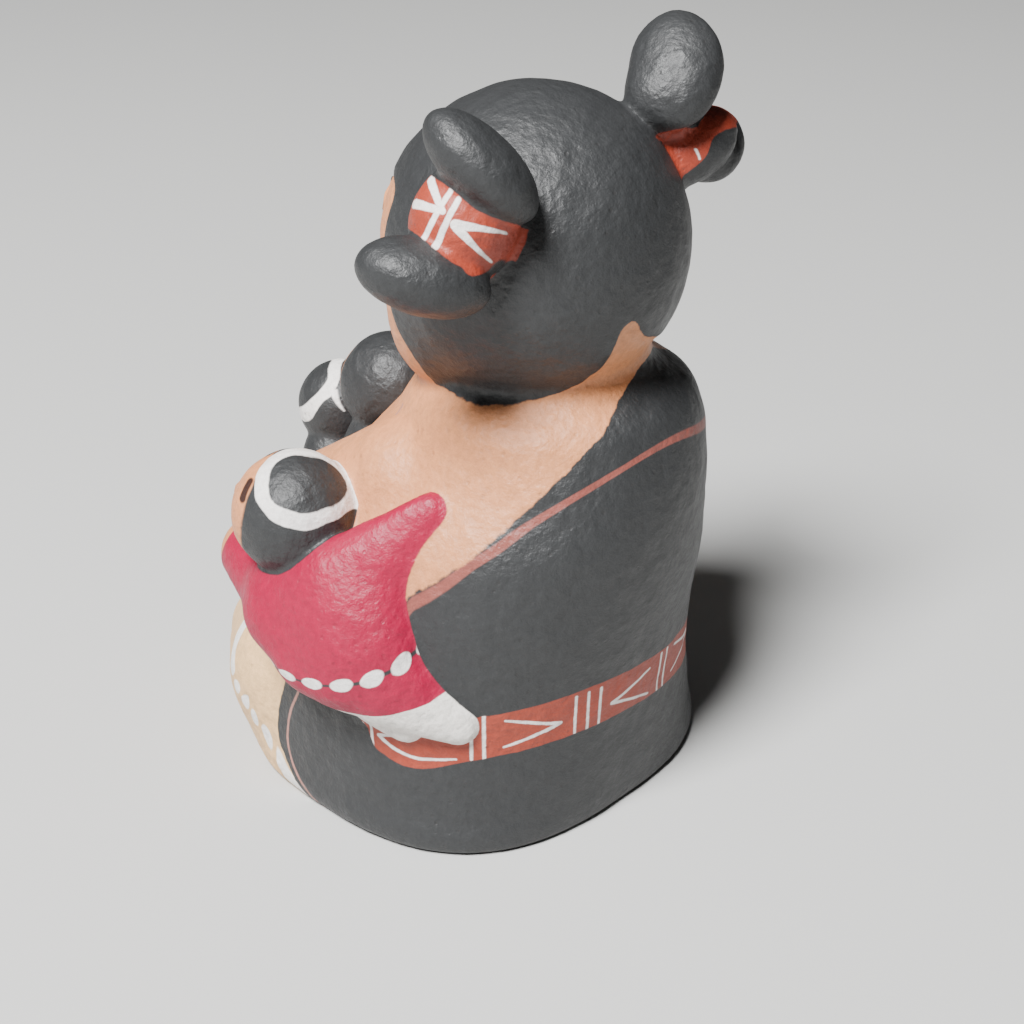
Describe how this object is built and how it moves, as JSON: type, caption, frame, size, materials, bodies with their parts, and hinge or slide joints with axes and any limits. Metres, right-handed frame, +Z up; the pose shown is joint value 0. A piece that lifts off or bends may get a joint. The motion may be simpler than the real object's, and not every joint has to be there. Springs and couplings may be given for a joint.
{
  "type": "pueblo storyteller figure",
  "caption": "Painted clay storyteller figure: a seated woman with hair whorls and children on her arms and lap, an ornament that stands on its flat underside.",
  "frame": {"origin": "on the floor plane, in the flat underside, below the middle of the figure's lap", "axes": "+Z up, the figure faces -Y, and its own left side is +X"},
  "size_m": [0.0608, 0.0633, 0.0888],
  "materials": {
    "painted_clay": "matte painted fired clay: charcoal, tan, brick red, crimson and white"
  },
  "bodies": {
    "root": {"storyteller_figure": "painted_clay"}
  },
  "joints": []
}
